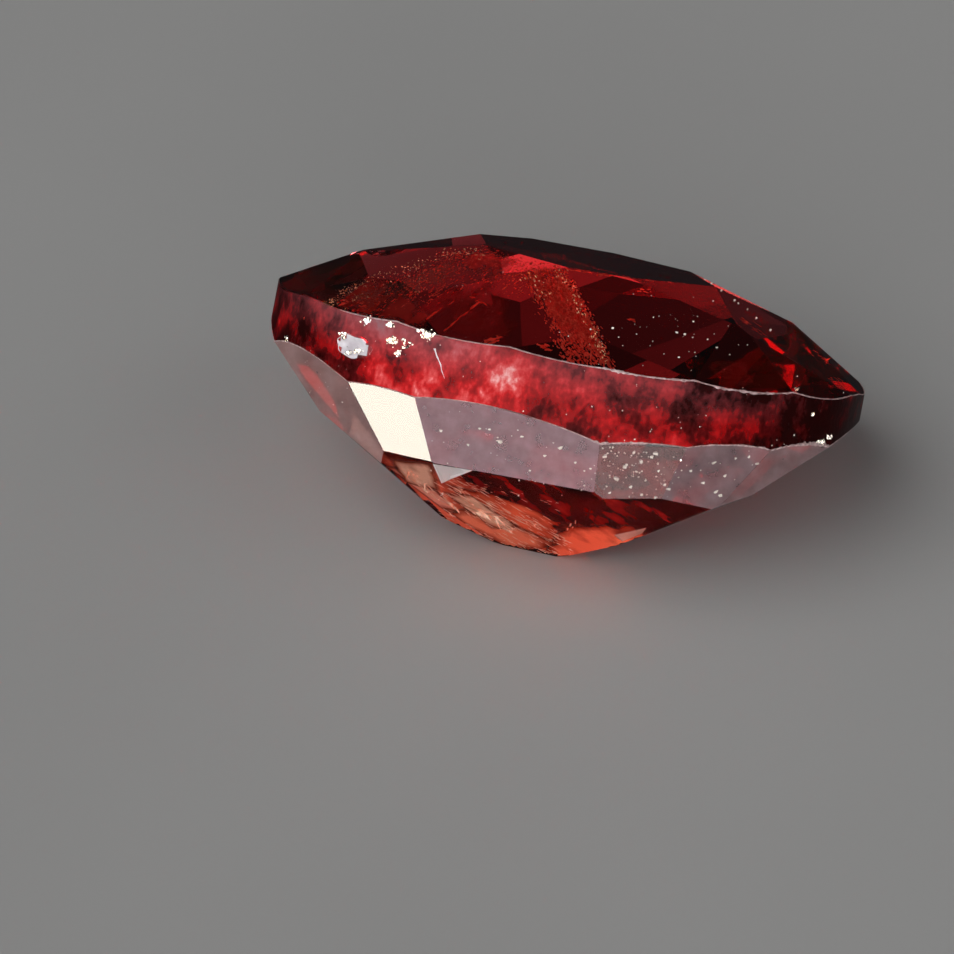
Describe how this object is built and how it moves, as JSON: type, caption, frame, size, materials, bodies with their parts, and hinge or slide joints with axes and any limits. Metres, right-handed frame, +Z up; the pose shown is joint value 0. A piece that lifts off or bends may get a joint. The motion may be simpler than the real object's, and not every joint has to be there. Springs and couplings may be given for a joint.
{
  "type": "faceted oval gemstone",
  "caption": "Hand-cut oval red spinel with a flat table, a thick unpolished girdle and a deep tiered pavilion, lying tilted on a pavilion facet",
  "frame": {"origin": "on the floor, under the middle of the stone's bounding box", "axes": "+X runs along the stone from its left end to its right end, +Y points away from the side that the picture shows, +Z is up; the stone lies on one pavilion facet and its table faces up and back"},
  "size_m": [0.0076, 0.006, 0.0043],
  "materials": {
    "spinel": "polished facets, frosted girdle"
  },
  "bodies": {
    "root": {"gemstone": "spinel"}
  },
  "joints": []
}
